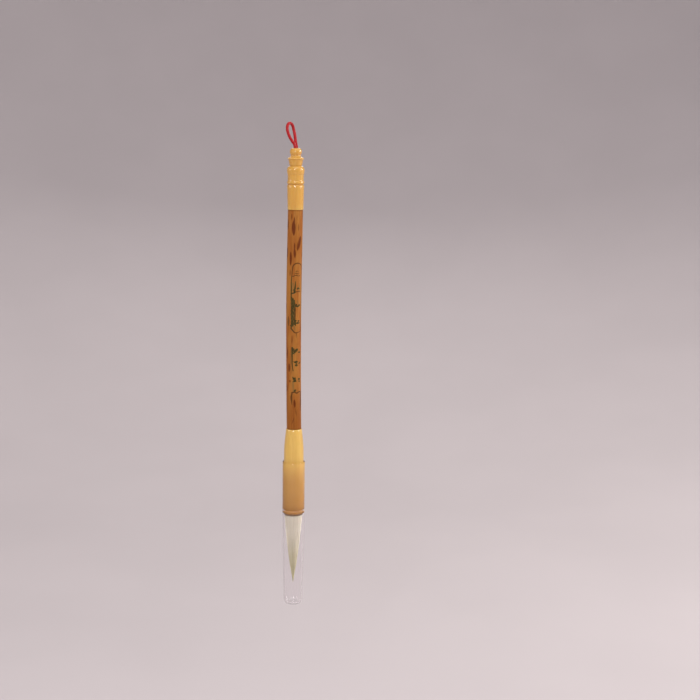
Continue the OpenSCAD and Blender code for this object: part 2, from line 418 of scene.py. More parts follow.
class Wiring:
    """A node tree being wired up. Where a socket is given as a value it is linked, or else set."""

    def give(self, socket, value):
        if isinstance(value, bpy.types.NodeSocket):
            self.tree.links.new(value, socket)
        else:
            socket.default_value = value

    def add(self, kind, inputs=None, **settings):
        node = self.tree.nodes.new(kind)
        for key, value in settings.items():
            setattr(node, key, value)
        for key, value in (inputs or {}).items():
            self.give(node.inputs[key], value)
        return node

    def maths(self, operation, a, b=0.0):
        return self.add("ShaderNodeMath", {0: a, 1: b}, operation=operation).outputs[0]


# ---------------------------------------------------------------- materials


class Shader(Wiring):
    """A material being made, from patterns wired into one principled surface."""

    def __init__(self, name):
        self.material = bpy.data.materials.new(name)
        self.material.use_nodes = True
        self.tree = self.material.node_tree
        self.tree.nodes.clear()
        self.output = self.add("ShaderNodeOutputMaterial")
        self.surface = self.add("ShaderNodeBsdfPrincipled")
        self.give(self.output.inputs["Surface"], self.surface.outputs[0])

    def noise(self, scale, detail=3.0, roughness=0.55, distortion=0.0, offset=0.0):
        """Noise on Object coordinates, scaled by (x, y, z) a metre; an offset gives another pattern."""
        at = self.add("ShaderNodeTexCoord").outputs["Object"]
        placed = self.add("ShaderNodeMapping", {"Vector": at, "Scale": scale}).outputs[0]
        moved = self.add("ShaderNodeVectorMath", {0: placed, 1: (offset, offset, offset)}).outputs[0]
        wanted = {"Vector": moved, "Scale": 1.0, "Detail": detail, "Roughness": roughness}
        return self.add("ShaderNodeTexNoise", {**wanted, "Distortion": distortion}).outputs[0]

    def height(self):
        """Height in metres from the origin, negative below it."""
        at = self.add("ShaderNodeTexCoord").outputs["Object"]
        return self.add("ShaderNodeSeparateXYZ", {0: at}).outputs["Z"]

    def kept(self, name):
        """A number stored on the piece's vertices."""
        return self.add("ShaderNodeAttribute", attribute_name=name).outputs["Fac"]

    def between(self, value, low, high, to_low=0.0, to_high=1.0):
        """A smooth step of a value from low to high, clamped."""
        wanted = {"Value": value, "From Min": low, "From Max": high, "To Min": to_low, "To Max": to_high}
        return self.add("ShaderNodeMapRange", wanted, interpolation_type="SMOOTHSTEP").outputs[0]

    def centred(self, noise, size):
        """Noise moved to lie round zero, and multiplied by size."""
        return self.maths("MULTIPLY", self.maths("SUBTRACT", noise, 0.5), size)

    def mixed(self, share, a, b):
        """Colour a, and colour b where share is 1."""
        node = self.add("ShaderNodeMix", {0: share}, data_type="RGBA")
        colours = [s for s in node.inputs if s.type == "RGBA"]
        for socket, value in zip(colours, (a, b)):
            self.give(socket, value if isinstance(value, bpy.types.NodeSocket) else (*value, 1))
        return node.outputs[2]

    def laid(self, base, over, value, low, high, most=1.0):
        """Base, with another colour laid over it as a value goes from low to high, at most this much."""
        return self.mixed(self.between(value, low, high, 0, most), base, over)

    def bump(self, height, depth, strength=1.0, onto=None):
        inputs = {"Height": height, "Distance": depth, "Strength": strength}
        if onto is not None:
            inputs["Normal"] = onto
        return self.add("ShaderNodeBump", inputs).outputs[0]

    def finish(self, **inputs):
        """Sets the surface's inputs, which are named with underscores for their spaces."""
        for key, value in inputs.items():
            self.give(self.surface.inputs[key.replace("_", " ")], value)
        return self.material


def scaled(shade, *factors):
    """A colour with its parts multiplied by one factor or by three, and kept to 1 at most."""
    factors = factors if len(factors) == 3 else factors * 3
    return [min(1, part * factor) for part, factor in zip(shade, factors)]


def waxed_cord(dye):
    """Glossy red braided cord, with painted shade: its colour a little deeper between the strands, where the
    relief is low.
    """
    look = Shader("waxed_cord")
    # Painted shade between the braid's strands: half the dye where the relief is low
    low = look.between(look.kept("relief"), -0.9, 0.5)
    streak = look.noise((900, 900, 900), detail=2)
    base = look.mixed(low, scaled(dye, 0.50), dye)
    base = look.laid(base, [min(1, part * 1.3 + 0.008) for part in dye], streak, 0.45, 0.75, 0.30)
    fibres = look.noise((5000, 5000, 1500), detail=2)
    return look.finish(
        Base_Color=base,
        Roughness=look.between(fibres, 0.3, 0.7, 0.34, 0.48),
        Normal=look.bump(fibres, 0.01 * MM, 0.5),
        Specular_IOR_Level=0.22,
        Coat_Weight=0.08,
        Coat_Roughness=0.20,
    )


def turned_wood(settings):
    """Fine pale turned wood under clear lacquer: straight grain along the axis and faint tool rings."""
    look = Shader("turned_wood")
    grain = look.noise((900, 900, 45), detail=5, roughness=0.6, distortion=0.6)
    broad = look.noise((210, 210, 18), detail=2, offset=3.7)
    share = look.between(grain, 0.30, 0.70, 0.12, 0.88)
    base = look.mixed(share, settings.dark_wood, settings.light_wood)
    base = look.laid(base, scaled(settings.dark_wood, 0.95, 0.86, 0.72), broad, 0.45, 0.75, 0.45)
    pores = look.noise((3800, 3800, 240), detail=1, offset=9.1)
    base = look.laid(base, scaled(settings.dark_wood, 0.55), pores, 0.66, 0.74, 0.22)
    # Amber above the handle; painted shade under the clear cap, darker towards the mouth; and a dark ring
    # just inside the mouth
    height = look.height()
    level = look.maths("ADD", height, look.centred(broad, 10 * MM))
    base = look.laid(base, settings.handled, level, HANDLE_TOP - 3 * MM, HANDLE_TOP + 3 * MM, 0.50)
    # Painted shade where the clear cap covers the lower ferrule
    above = look.between(level, CAP_TOP + 6 * MM, CAP_TOP - 15 * MM, 0, 0.64)
    below = look.between(level, MOUTH + 16 * MM, MOUTH, 0, 0.22)
    base = look.mixed(look.maths("ADD", above, below), base, settings.under_cap_shade)
    base = look.laid(base, scaled(settings.under_cap_shade, 0.30), height, MOUTH + 1.7 * MM, MOUTH + 0.9 * MM, 0.85)
    # Painted shade in the grooves, darker where they lie deeper
    groove = look.maths("ADD", look.kept("recess"), look.centred(grain, 0.4))
    base = look.laid(base, scaled(settings.handled, 0.64, 0.54, 0.3), groove, 0.10, 0.90, 0.62)
    lathe = look.noise((40, 40, 6500), detail=1)
    relief = look.bump(lathe, 0.004 * MM, 0.5)
    relief = look.bump(pores, 0.006 * MM, 0.35, onto=relief)
    return look.finish(
        Base_Color=base,
        Roughness=look.between(grain, 0.3, 0.7, 0.36, 0.48),
        Normal=relief,
        Specular_IOR_Level=0.25,
        Coat_Weight=0.75,
        Coat_Roughness=0.09,
        Subsurface_Weight=0.12,
        Subsurface_Radius=(0.0012, 0.0006, 0.0002),
        Subsurface_Scale=1.0,
    )


def mottled_bamboo(settings):
    """Brown bamboo with dark lens-shaped flecks, fine fibres, and green paint rubbed into the engraving."""
    look = Shader("mottled_bamboo")
    fibres = look.noise((1900, 1900, 28), detail=4, roughness=0.62)
    broad = look.noise((240, 240, 26), detail=2, distortion=0.5)
    height = look.height()
    dusk = scaled(settings.warm, 0.55)
    # The skin: warmer stretches, a darker foot, and pale and dark fibres
    base = look.laid(settings.skin, settings.warm, broad, 0.36, 0.64)
    base = look.laid(base, scaled(settings.warm, 0.86), height,
                     HANDLE_FOOT + 34 * MM, HANDLE_FOOT + 4 * MM, 0.75)
    base = look.laid(base, scaled(settings.skin, 1.30, 1.55, 1.75), fibres, 0.50, 0.78, 0.60)
    base = look.laid(base, dusk, fibres, 0.46, 0.24, 0.55)
    dashes = look.noise((3400, 3400, 230), detail=2, offset=8.4)
    base = look.laid(base, dusk, dashes, 0.60, 0.72, 0.40)
    # The flecks, each with a ragged edge and a halo, and none where no fleck is stored
    fleck = look.kept("fleck")
    ragged = look.noise((1100, 1100, 95), detail=4, roughness=0.65, offset=5.3)
    spread = look.maths("ADD", fleck, look.centred(ragged, 0.9))
    halo = look.maths("MULTIPLY", look.between(spread, 0.0, 0.50, 0, 0.45), look.between(fleck, 0.0, 0.12))
    base = look.mixed(halo, base, dusk)
    core = look.maths("MULTIPLY", look.between(spread, 0.22, 0.85, 0, 0.94), look.between(fleck, 0.0, 0.18))
    base = look.mixed(core, base, settings.fleck)
    # Painted contact shade: a dark line at each joint with the ferrules, where their rims shade the bamboo
    top = look.between(height, HANDLE_TOP - 1.1 * MM, HANDLE_TOP)
    foot = look.between(height, HANDLE_FOOT + 1.1 * MM, HANDLE_FOOT)
    joint_shade = look.maths("MULTIPLY", look.maths("MAXIMUM", top, foot), 0.6)
    base = look.mixed(joint_shade, base, dusk)
    # The engraving: washes, bare cuts, paint with worn places, and a worn lip beside each cut
    tone = look.noise((1500, 1500, 900), detail=2, offset=1.9)
    uneven = look.centred(tone, 0.5)
    base = look.laid(base, settings.wash, look.maths("ADD", look.kept("wash"), uneven), 0.22, 1.05, 0.50)
    base = look.laid(base, settings.bare_cut, look.kept("bare cut"), 0.15, 0.70, 0.90)
    paint = look.laid(settings.paint, settings.worn_paint, tone, 0.45, 0.68, 0.8)
    base = look.laid(base, paint, look.maths("ADD", look.kept("paint"), uneven), 0.20, 0.55, 0.95)
    base = look.laid(base, scaled(settings.skin, 1.25, 1.55, 1.4), look.kept("lip"), 0.25, 0.9, 0.40)
    return look.finish(
        Base_Color=base,
        Roughness=look.between(fibres, 0.3, 0.7, 0.42, 0.56),
        Normal=look.bump(fibres, 0.014 * MM, 0.55),
        Specular_IOR_Level=0.12,
        Coat_Weight=0.05,
        Coat_Roughness=0.28,
    )


def dried_glue(name, amber, roughness):
    """Amber glue or resin, cloudy and slightly uneven."""
    look = Shader(name)
    cloud = look.noise((700, 700, 700), detail=4)
    return look.finish(
        Base_Color=look.laid(scaled(amber, 0.55), amber, cloud, 0.35, 0.65),
        Roughness=look.between(cloud, 0.3, 0.7, roughness, roughness + 0.2),
        Normal=look.bump(cloud, 0.03 * MM, 0.5),
        Subsurface_Weight=0.3,
        Subsurface_Radius=(0.002, 0.001, 0.0004),
        Subsurface_Scale=1.0,
    )


def wound_thread():
    """Off-white twisted thread, its twist drawn as fine slanted lines."""
    look = Shader("wound_thread")
    twist = look.noise((2200, 2200, 5200), detail=2, distortion=0.4)
    return look.finish(
        Base_Color=look.laid((0.50, 0.44, 0.33), (0.80, 0.76, 0.66), twist, 0.35, 0.65),
        Roughness=0.75,
        Normal=look.bump(twist, 0.03 * MM, 0.8),
        Sheen_Weight=0.3,
    )


def brush_hair(name, root, end, dark):
    """Straight silky hair: each hair has its own shade, and the colour changes from root to tip."""
    look = Shader(name)
    shade = look.kept("shade")
    base = look.laid(root, end, look.kept("along"), 0.38, 0.88)
    base = look.laid(base, dark, shade, 0.45, 1.0, 0.55)
    streak = look.noise((1600, 1600, 60), detail=3)
    base = look.laid(base, scaled(dark, 0.75), streak, 0.5, 0.8, 0.30)
    return look.finish(
        Base_Color=base,
        Roughness=look.between(shade, 0.0, 1.0, 0.36, 0.52),
        Sheen_Weight=0.25,
        Sheen_Roughness=0.4,
        Subsurface_Weight=0.25,
        Subsurface_Radius=(0.0015, 0.0012, 0.0008),
        Subsurface_Scale=1.0,
    )


def clear_plastic(settings):
    """Thin clear moulded plastic. Lamps reach what is inside it; its surface is glossy with faint scuffs."""
    look = Shader("clear_plastic")
    scuffs = look.noise((1400, 1400, 120), detail=3, roughness=0.7)
    waves = look.noise((130, 130, 24), detail=1)
    look.finish(
        Base_Color=(*settings.tint, 1),
        Roughness=look.between(scuffs, 0.45, 0.80, 0.02, 0.14),
        Normal=look.bump(waves, 0.05 * MM, 0.25),
        Transmission_Weight=1.0,
        IOR=1.47,
    )
    lamp = look.add("ShaderNodeLightPath").outputs["Is Shadow Ray"]
    through = look.add("ShaderNodeBsdfTransparent", {"Color": (0.97, 0.965, 0.965, 1)}).outputs[0]
    both = look.add("ShaderNodeMixShader", {0: lamp, 1: look.surface.outputs[0], 2: through})
    look.give(look.output.inputs["Surface"], both.outputs[0])
    return look.material


def plain_paper(paper):
    """The stage's matt paper, with the faintest unevenness."""
    look = Shader("plain_paper")
    cloud = look.noise((6, 6, 6), detail=2)
    base = look.laid(scaled(paper, 0.97), paper, cloud, 0.3, 0.7)
    return look.finish(Base_Color=base, Roughness=0.9, Specular_IOR_Level=0.15)


# ---------------------------------------------------------------- engraving and flecks


def stroke_mask(u, v, line, width, soft=0.10):
    """How much each surface point (u, v) lies under a pen stroke, in millimetres.

    The width is given at the stroke's start, middle and end, and soft is the width of its edge.
    """
    widths = np.interp(np.linspace(0, 1, len(line)), [0, 0.5, 1], width)
    mask = np.zeros_like(u)
    margin = widths.max() + soft
    near = (
        (u > line[:, 0].min() - margin)
        & (u < line[:, 0].max() + margin)
        & (v > line[:, 1].min() - margin)
        & (v < line[:, 1].max() + margin)
    )
    if not near.any():
        return mask
    p = np.stack([u[near], v[near]], axis=1)
    best = np.zeros(len(p))
    for a, b, wa, wb in zip(line[:-1], line[1:], widths[:-1], widths[1:]):
        along = b - a
        t = np.clip(((p - a) @ along) / max(along @ along, 1e-12), 0, 1)
        gap = np.linalg.norm(p - a - t[:, None] * along, axis=1)
        half = (wa + (wb - wa) * t) / 2
        best = np.maximum(best, np.clip((half + soft / 2 - gap) / soft, 0, 1))
    mask[near] = best
    return mask


def curve(*points, steps=10):
    """A smooth pen line through points in the plane."""
    flat = [(x, y, 0.0) for x, y in points]
    total = sum(math.dist(a, b) for a, b in zip(flat, flat[1:]))
    return smooth_line(flat, total / (steps * (len(points) - 1)))[:, :2]


class Engraving:
    """The engraved scene as strokes (kind, line, width): hills, a pine, a cliff, and bamboo below.

    The kinds are paint, for painted cuts, bare cut, for unpainted ones, and wash, for thin colour between
    them. A point is (u, v) in millimetres: u runs round the handle to the right from its front, and v down
    from the origin. A width is one number, or three for the stroke's start, middle and end.
    """

    def __init__(self):
        self.random = np.random.default_rng(7)
        self.strokes = []
        self.upper_frame()
        self.far_hills()
        self.pine()
        self.cliff()
        self.bamboo()

    def draw(self, kind, width, *points, steps=10):
        widths = np.array(width if np.ndim(width) else [width] * 3)
        self.strokes.append((kind, curve(*points, steps=steps), widths))

    def leaves(self, at, count, size, fan):
        """A spray of pointed painted leaves from one place, between the two angles of a fan."""
        for i in range(count):
            lean = math.radians(fan[0] + (fan[1] - fan[0]) * (i + self.random.uniform(0.2, 0.8)) / count)
            reach = size * self.random.uniform(0.7, 1.15)
            end = (at[0] + reach * math.sin(lean), at[1] + reach * math.cos(lean))
            mid = ((at[0] + end[0]) / 2 + 0.1 * math.cos(lean), (at[1] + end[1]) / 2 - 0.1 * math.sin(lean))
            self.draw("paint", (0.22, 0.52, 0.06), at, mid, end, steps=4)

    def upper_frame(self):
        """The rounded frame of the upper scene: bare at its top and foot, painted down its left side."""
        self.draw("bare cut", (0.60, 0.74, 0.50), (-1.2, 72.6), (-0.9, 68.3), (-0.4, 66.4), (0.6, 65.4),
                  (2.0, 65.0), (3.7, 65.4), (4.9, 66.6), (5.4, 69.0))
        self.draw("paint", (0.42, 0.66, 0.72), (-1.3, 72.8), (-1.45, 77.0), (-1.4, 86.0))
        self.draw("bare cut", (0.40, 0.50, 0.40), (5.4, 69.0), (5.6, 84.0), (5.4, 98.0), (4.8, 104.4))
        self.draw("bare cut", (0.80, 0.66, 0.36), (-1.4, 102.4), (-0.4, 103.7), (0.8, 104.9), (2.0, 105.1),
                  (4.8, 104.4))
        self.draw("paint", (0.62, 0.45, 0.12), (-1.4, 102.3), (-0.5, 103.5), (0.4, 104.5))
        self.draw("bare cut", (0.60, 0.40, 0.08), (1.7, 105.1), (1.75, 108.2))

    def far_hills(self):
        """Far hills, one behind the other, and mist at their feet."""
        self.draw("bare cut", (0.16, 0.46, 0.16), (0.8, 70.1), (1.8, 69.4), (2.9, 70.0))
        self.draw("bare cut", (0.20, 0.48, 0.20), (0.2, 71.3), (1.3, 70.7), (2.3, 71.1), (3.4, 70.8))
        self.draw("bare cut", (0.50, 0.52, 0.30), (-0.6, 72.6), (1.2, 71.9), (2.6, 72.3), (4.1, 72.0))

    def pine(self):
        """A pine on a bank, with mist behind its trunk."""
        self.draw("wash", 1.3, (-0.5, 76.6), (-0.4, 80.6))
        self.draw("wash", 1.0, (3.4, 76.8), (3.7, 81.0))
        self.draw("paint", (0.30, 0.72, 1.05), (0.95, 75.4), (0.85, 78.0), (0.5, 81.2))
        self.draw("bare cut", (0.3, 0.6, 0.2), (0.9, 76.2), (1.2, 79.6))
        self.leaves((2.6, 79.9), 6, 1.15, (90, 270))
        self.leaves((0.3, 80.0), 4, 1.0, (-80, 60))
        self.draw("paint", (0.70, 0.75, 0.30), (-1.0, 82.3), (0.3, 82.0), (1.3, 81.4))
        self.draw("bare cut", (0.55, 0.62, 0.40), (0.8, 81.7), (2.4, 81.2), (4.2, 81.5))

    def cliff(self):
        """A cliff down the left side, a branch that leans out of it, and bushes at its foot."""
        ledge, overlap = 2.2, 0.3
        for u, top, foot, wide in (
            (-1.05, 84.6, 101.8, 0.95), (-0.25, 85.2, 101.0, 0.88), (0.55, 86.2, 97.4, 0.74),
        ):
            for start in np.arange(top, foot, ledge):
                end = min(start + ledge + overlap, foot)
                middle = (u + self.random.uniform(-0.12, 0.12), (start + end) / 2)
                self.draw("paint", (wide * 0.7, wide, wide * 0.7), (u, start), middle, (u, end), steps=5)
        self.draw("bare cut", (0.30, 0.52, 0.36), (1.05, 88.0), (1.2, 92.5), (1.15, 97.0))
        self.draw("paint", (0.9, 1.0, 0.35), (0.8, 89.2), (2.4, 89.8), (4.2, 89.3))
        self.leaves((1.6, 89.2), 3, 0.9, (120, 200))
        self.leaves((3.4, 89.4), 4, 1.0, (100, 260))
        self.draw("wash", 1.0, (2.2, 86.6), (3.0, 88.4))
        for u, v, size in (
            (0.9, 100.4, 1.7), (1.3, 98.6, 1.2), (2.8, 100.0, 1.5), (3.3, 98.6, 0.9), (-0.9, 101.6, 1.4),
        ):
            self.leaves((u, v), 6, size, (110, 250))
        self.draw("paint", (0.5, 1.2, 0.5), (0.4, 97.2), (0.9, 99.0), (1.3, 100.9))
        self.draw("wash", 1.1, (0.4, 101.4), (1.0, 103.2))
        self.draw("wash", (0.5, 1.0, 0.4), (-3.2, 96.4), (-3.1, 101.0))

    def bamboo(self):
        """The lower scene: a bamboo stem with sprays of leaves, over a bank."""
        self.draw("wash", (0.6, 0.8, 0.4), (-1.35, 115.0), (-1.45, 122.0), (-1.3, 128.6))
        self.draw("paint", (0.95, 0.62, 0.45), (-0.6, 113.8), (-0.65, 119.0), (-0.6, 123.4), (-0.1, 127.4))
        for u, v, count, size, fan in (
            (-0.3, 114.6, 5, 1.3, (-30, 120)), (0.1, 116.6, 5, 1.3, (-60, 80)),
            (1.1, 116.6, 6, 1.6, (100, 260)), (2.1, 114.4, 6, 1.5, (-70, 70)),
            (3.8, 116.2, 5, 1.1, (-80, 80)), (1.6, 121.6, 7, 1.5, (-80, 80)),
            (2.0, 124.6, 7, 1.6, (110, 260)), (4.0, 122.6, 5, 1.1, (-80, 100)),
            (0.5, 131.4, 7, 1.5, (-80, 80)), (0.9, 133.8, 6, 1.3, (90, 270)),
            (3.6, 131.8, 6, 1.4, (-70, 80)), (3.9, 134.0, 4, 0.9, (110, 250)),
            (0.9, 138.4, 4, 1.0, (-60, 90)),
        ):
            self.leaves((u, v), count, size, fan)
        self.draw("paint", (0.25, 0.5, 0.2), (0.0, 121.8), (1.4, 122.8), (2.6, 122.9))
        self.draw("paint", (0.5, 1.1, 0.5), (-0.3, 131.0), (0.4, 132.4), (1.5, 132.9))
        self.draw("wash", (1.2, 1.3, 0.9), (-0.2, 134.2), (0.1, 139.8))
        self.draw("wash", 0.9, (1.0, 115.2), (1.3, 115.8))
        self.draw("bare cut", (0.72, 0.90, 0.60), (-1.0, 140.2), (0.6, 139.9), (2.0, 140.5), (3.6, 139.8),
                  (5.2, 139.8))
        self.draw("paint", (0.3, 0.7, 0.3), (0.3, 139.7), (1.3, 139.2))
        self.draw("bare cut", (0.75, 1.30, 0.30), (-0.8, 140.2), (-1.25, 143.2), (-0.9, 147.2))
        self.draw("bare cut", (0.8, 1.3, 0.6), (5.1, 140.0), (5.25, 146.0), (5.1, 151.0))


# The flecks that face front: degrees round from it, depth, length and width in millimetres, slant, and
# how dark
FRONT_FLECKS = [
    (-8, 45.0, 9.6, 2.5, 0.03, 1.0),
    (-4, 40.6, 4.4, 0.9, 0.0, 0.7),
    (-26, 38.6, 4.4, 1.1, 0.0, 0.6),
    (38, 53.6, 9.4, 2.5, -0.24, 0.90),
    (2, 55.4, 4.8, 1.0, 0.05, 0.75),
    (4, 59.2, 6.4, 1.4, 0.06, 1.0),
    (-27, 62.4, 9.0, 1.7, 0.0, 1.0),
    (-66, 42.8, 7.0, 1.4, 0.0, 1.0),
    (-67, 59.0, 7.0, 1.3, 0.0, 0.95),
    (-31, 70.5, 5.0, 1.0, 0.0, 0.65),
    (-42, 98.4, 7.0, 1.7, 0.0, 0.70),
    (-10, 109.3, 6.4, 1.0, 0.0, 0.55),
    (-54, 117.0, 7.4, 1.0, 0.0, 0.90),
    (-34, 125.6, 6.0, 1.4, 0.0, 1.0),
    (-28, 133.4, 2.0, 1.0, 0.0, 0.85),
    (-60, 137.8, 5.0, 1.1, 0.0, 0.85),
    (9, 146.6, 5.6, 1.5, 0.08, 1.0),
    (18, 151.6, 5.8, 1.0, 0.12, 0.55),
    (-6, 157.0, 5.4, 0.9, -0.35, 0.50),
    (30, 44.6, 5.0, 0.9, 0.0, 0.40),
    (14, 39.0, 4.0, 0.8, 0.0, 0.35),
]
BACK_FLECKS = 63


def fleck_field(angle, depth, radius):
    """How dark the natural flecks are at each surface point."""
    rng = np.random.default_rng(21)
    ranges = ((80, 280), (37, 160), (3, 9), (0.8, 2.2), (-0.14, 0.14), (0.5, 1.0))
    spots = [*FRONT_FLECKS, *([rng.uniform(*span) for span in ranges] for _ in range(BACK_FLECKS))]
    field = np.zeros_like(angle)
    for around, at, long, wide, slant, dark in spots:
        turn = (np.degrees(angle) - around + 180) % 360 - 180
        down = depth - at
        side = np.radians(turn) * radius - slant * down
        share = np.clip(np.abs(down) / (long / 2), 0, 1)
        half = wide / 2 * (1 - share**1.8)
        near = np.clip(1.35 - np.abs(side) / np.maximum(half, 0.12), 0, 1) * (share < 1)
        field = np.maximum(field, dark * near * np.clip((1 - share) * 4, 0, 1))
    return field


# ---------------------------------------------------------------- geometry node recipes


class Recipe(Wiring):
    """A geometry node tree with named inputs and one geometry output."""

    def __init__(self, name, inputs, takes_geometry=False):
        self.tree = bpy.data.node_groups.new(name, "GeometryNodeTree")
        face = self.tree.interface
        if takes_geometry:
            face.new_socket("Geometry", in_out="INPUT", socket_type="NodeSocketGeometry")
        for label, kind in inputs.items():
            face.new_socket(label, in_out="INPUT", socket_type="NodeSocket" + kind)
        face.new_socket("Geometry", in_out="OUTPUT", socket_type="NodeSocketGeometry")
        self.given = self.tree.nodes.new("NodeGroupInput").outputs
        self.result = self.tree.nodes.new("NodeGroupOutput")

    def add_number(self, kind, inputs, **settings):
        """A node that has sockets of the same name for each kind of data, with its number sockets wired."""
        node = self.add(kind, data_type="FLOAT", **settings)
        sockets = {s.name: s for s in node.inputs if s.enabled}
        for key, value in inputs.items():
            self.give(sockets[key], value)
        return next(s for s in node.outputs if s.enabled)

    def random(self, low, high, which, offset):
        """A random number for each hair; offset keeps the draws apart."""
        seed = self.maths("ADD", self.given["Seed"], offset)
        inputs = {"Min": low, "Max": high, "ID": which, "Seed": seed}
        return self.add_number("FunctionNodeRandomValue", inputs)

    def swept(self, line, radius, resolution):
        """The closed solid of a circle swept along a line."""
        ring = self.add("GeometryNodeCurvePrimitiveCircle", {"Resolution": resolution}, mode="RADIUS")
        self.give(ring.inputs["Radius"], radius)
        inputs = {"Curve": line, "Profile Curve": ring.outputs[0], "Fill Caps": True}
        return self.add("GeometryNodeCurveToMesh", inputs).outputs[0]

    def finish(self, geometry, material):
        """Ends the tree in Realize Instances and Set Material."""
        real = self.add("GeometryNodeRealizeInstances", {"Geometry": geometry}).outputs[0]
        done = self.add("GeometryNodeSetMaterial", {"Geometry": real, "Material": material}).outputs[0]
        self.give(self.result.inputs["Geometry"], done)
        return self.tree


def grown(name, tree, values, base=None):
    """The plain mesh that a geometry node tree makes from named values, as a finished piece."""
    holder = bpy.data.objects.new(name + "_recipe", base or bpy.data.meshes.new(name + "_recipe"))
    bpy.context.scene.collection.objects.link(holder)
    modifier = holder.modifiers.new("recipe", "NODES")
    modifier.node_group = tree
    for item in tree.interface.items_tree:
        if item.item_type == "SOCKET" and item.in_out == "INPUT" and item.name in values:
            modifier[item.identifier] = values[item.name]
    view = bpy.context.evaluated_depsgraph_get()
    mesh = bpy.data.meshes.new_from_object(holder.evaluated_get(view))
    if not len(mesh.polygons):
        raise RuntimeError(f"the node tree for {name} made no faces")
    mesh.name = name
    holder.modifiers.remove(modifier)
    bpy.data.objects.remove(holder)
    piece = bpy.data.objects.new(name, mesh)
    bpy.context.scene.collection.objects.link(piece)
    return piece


def hair_recipe(profile, steps, material):
    """Hairs along the tuft: each runs down from the root at its own angle and share of the radius.

    profile gives the tuft's radius at even steps from root to tip.
    """
    made = Recipe("hair_bundle", {
        "Hairs": "Int", "Root height": "Float", "Tip height": "Float", "Hair width": "Float",
        "Inner share": "Float", "Outer share": "Float", "Shortest": "Float", "Longest": "Float",
        "Locks": "Float", "Locking": "Float", "Waviness": "Float", "Seed": "Int",
    }, takes_geometry=True)
    given, maths = made.given, made.maths
    circle = 2 * math.pi
    # One point for each step of each hair
    count = maths("MULTIPLY", given["Hairs"], float(steps))
    index = made.add("GeometryNodeInputIndex").outputs[0]
    hair = maths("FLOOR", maths("DIVIDE", maths("ADD", index, 0.5), float(steps)))
    step = maths("SUBTRACT", index, maths("MULTIPLY", hair, float(steps)))
    share = maths("DIVIDE", step, float(steps - 1))
    turn = made.random(0.0, circle, hair, 1)
    layer = made.random(0.0, 1.0, hair, 2)
    end = made.random(0.0, 1.0, hair, 3)
    shade = made.random(0.0, 1.0, hair, 4)
    phase = made.random(0.0, circle, hair, 5)
    # How far down the tuft a point is, and how far out
    spread = maths("SUBTRACT", given["Outer share"], given["Inner share"])
    layer = maths("ADD", given["Inner share"], maths("MULTIPLY", maths("SQRT", layer), spread))
    reach = maths("SUBTRACT", given["Longest"], given["Shortest"])
    reach = maths("ADD", given["Shortest"], maths("MULTIPLY", reach, end))
    along = maths("MULTIPLY", share, reach)
    radius = maths("MULTIPLY", tuft_radius(made, profile, along), layer)
    # Hairs lean towards the nearest lock's middle as they near the tip, and wave a little.
    locks = given["Locks"]
    nearest = maths("ROUND", maths("MULTIPLY", maths("DIVIDE", turn, circle), locks))
    pull = maths("SUBTRACT", maths("MULTIPLY", maths("DIVIDE", nearest, locks), circle), turn)
    pull = maths("MULTIPLY", pull, maths("MULTIPLY", given["Locking"], maths("MULTIPLY", along, along)))
    wave = maths("SINE", maths("ADD", maths("MULTIPLY", along, 9.0), phase))
    wave = maths("MULTIPLY", wave, maths("MULTIPLY", given["Waviness"], along))
    angle = maths("ADD", maths("ADD", turn, pull), wave)
    drop = maths("MULTIPLY", maths("SUBTRACT", given["Tip height"], given["Root height"]), along)
    place = made.add("ShaderNodeCombineXYZ", {
        0: maths("MULTIPLY", radius, maths("COSINE", angle)),
        1: maths("MULTIPLY", radius, maths("SINE", angle)),
        2: maths("ADD", given["Root height"], drop),
    }).outputs[0]
    dots = made.add("GeometryNodePoints", {"Count": count, "Position": place}).outputs[0]
    for label, value in (("along", along), ("shade", shade)):
        wanted = {"Geometry": dots, "Name": label, "Value": value}
        dots = made.add_number("GeometryNodeStoreNamedAttribute", wanted, domain="POINT")
    wanted = {"Points": dots, "Curve Group ID": hair, "Weight": step}
    lines = made.add("GeometryNodePointsToCurves", wanted).outputs[0]
    taper = maths("SUBTRACT", 1.0, maths("MULTIPLY", maths("POWER", share, 3.0), 0.88))
    lines = made.add("GeometryNodeSetCurveRadius", {"Curve": lines, "Radius": taper}).outputs[0]
    hairs = made.swept(lines, maths("MULTIPLY", given["Hair width"], 0.5), 3)
    joined = made.add("GeometryNodeJoinGeometry")
    made.give(joined.inputs[0], hairs)
    made.give(joined.inputs[0], given["Geometry"])
    return made.finish(joined.outputs[0], material)


def tuft_radius(made, profile, along):
    """The tuft's radius at a share of the way from root to tip."""
    widest = max(profile)
    shape = made.add("ShaderNodeFloatCurve", {"Value": along})
    points = shape.mapping.curves[0].points
    while len(points) < len(profile):
        points.new(0.5, 0.5)
    for i, radius in enumerate(profile):
        points[i].location = (i / (len(profile) - 1), radius / widest)
        points[i].handle_type = "AUTO_CLAMPED"
    shape.mapping.update()
    return made.maths("MULTIPLY", shape.outputs[0], widest)


def thread_recipe(material):
    """A helix of thread: turns of a given pitch round the hair's root."""
    made = Recipe("thread_winding", {
        "Turns": "Float", "Winding radius": "Float", "Winding height": "Float", "Thread radius": "Float",
        "Foot": "Vector",
    })
    given = made.given
    radius = given["Winding radius"]
    spiral = made.add("GeometryNodeCurveSpiral", {
        "Resolution": 64, "Rotations": given["Turns"], "Start Radius": radius, "End Radius": radius,
        "Height": given["Winding height"],
    }).outputs[0]
    moved = made.add("GeometryNodeTransform", {"Geometry": spiral, "Translation": given["Foot"]}).outputs[0]
    return made.finish(made.swept(moved, given["Thread radius"], 10), material)


# ---------------------------------------------------------------- operators


